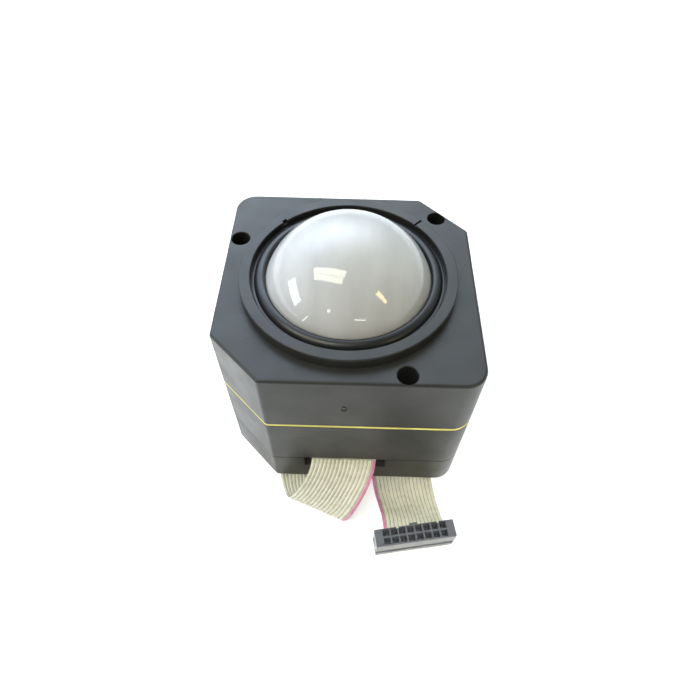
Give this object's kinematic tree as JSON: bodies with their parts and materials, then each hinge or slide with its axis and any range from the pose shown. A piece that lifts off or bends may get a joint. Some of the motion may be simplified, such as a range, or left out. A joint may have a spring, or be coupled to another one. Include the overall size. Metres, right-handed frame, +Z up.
{
  "type": "panel-mount trackball",
  "caption": "Trackball pointing module: a large polished ball in a sealed square dark housing with a flange, a twist-off retaining ring, and a flat ribbon cable with a socket.",
  "frame": {"origin": "on the standing surface, under the middle of the housing", "axes": "+Z up through the ball, -Y towards the side where the ribbon cable comes out, +X to the right seen from that side"},
  "size_m": [0.073, 0.0964, 0.079],
  "materials": {
    "housing": "finely textured dark grey moulding",
    "gasket": "matt yellow sealing strip",
    "ring": "glossy black",
    "seal": "soft black wiper",
    "ball": "highly polished light grey resin",
    "carrier": "black moulding",
    "steel": "plain zinc-plated",
    "polished_steel": "ground and polished",
    "roller": "ground grey sleeve",
    "disc": "black slotted disc",
    "board": "green solder mask on glass fibre",
    "chip": "black moulded package",
    "can": "drawn can",
    "capacitor": "dark blue sleeve",
    "connector": "black moulding",
    "ribbon": "beige-grey ribbed cable with one red edge"
  },
  "bodies": {
    "housing": {"top_housing": "housing", "middle_housing": "housing", "bottom_cover": "housing", "housing_gasket": "gasket", "ball_seal": "seal", "ball_carrier": "carrier", "idler_bracket": "steel", "idler_pin": "polished_steel", "circuit_board": "board", "controller_chip": "chip", "crystal": "can", "capacitor_1": "capacitor", "capacitor_2": "capacitor", "board_header": "connector", "ribbon_inner": "ribbon", "ribbon_cable": "ribbon", "socket_body": "connector", "socket_clamp": "connector", "cover_screw_1": "steel", "board_screw_1": "steel", "cover_screw_2": "steel", "board_screw_2": "steel", "cover_screw_3": "steel", "board_screw_3": "steel", "cover_screw_4": "steel", "board_screw_4": "steel", "carrier_screw_1": "steel", "carrier_screw_2": "steel", "carrier_screw_3": "steel", "encoder_sensor_x": "chip", "bearing_outer_x1": "polished_steel", "bearing_outer_x2": "polished_steel", "encoder_sensor_y": "chip", "bearing_outer_y1": "polished_steel", "bearing_outer_y2": "polished_steel"},
    "ball": {"ball": "ball"},
    "ring": {"retaining_ring": "ring"},
    "shaft_x": {"shaft_x": "polished_steel", "roller_x": "roller", "encoder_disc_x": "disc", "bearing_inner_x1": "polished_steel", "bearing_inner_x2": "polished_steel"},
    "shaft_y": {"shaft_y": "polished_steel", "roller_y": "roller", "encoder_disc_y": "disc", "bearing_inner_y1": "polished_steel", "bearing_inner_y2": "polished_steel"},
    "idler": {"idler_wheel": "polished_steel"}
  },
  "joints": [
    {"name": "ball_roll", "type": "hinge", "parent": "housing", "child": "ball", "pos_m": [0, 0, 0.0536], "axis": [0.7071, -0.7071, 0], "continuous": true},
    {"name": "ring_twist", "type": "hinge", "parent": "housing", "child": "ring", "pos_m": [0, 0, 0.0629], "axis": [0, 0, 1], "range_deg": [0, 28]},
    {"name": "shaft_x_spin", "type": "hinge", "parent": "housing", "child": "shaft_x", "pos_m": [0, 0.02468, 0.03935], "axis": [1, 0, 0], "continuous": true},
    {"name": "shaft_y_spin", "type": "hinge", "parent": "housing", "child": "shaft_y", "pos_m": [0.02468, 0, 0.03935], "axis": [0, 1, 0], "continuous": true},
    {"name": "idler_spin", "type": "hinge", "parent": "housing", "child": "idler", "pos_m": [-0.01868, -0.01868, 0.03835], "axis": [0.7071, -0.7071, 0], "continuous": true}
  ],
  "couplings": [
    {"joint": "shaft_x_spin", "follows": "ball_roll", "ratio": -5.9868},
    {"joint": "shaft_y_spin", "follows": "ball_roll", "ratio": 5.9868},
    {"joint": "idler_spin", "follows": "ball_roll", "ratio": -5.08}
  ]
}
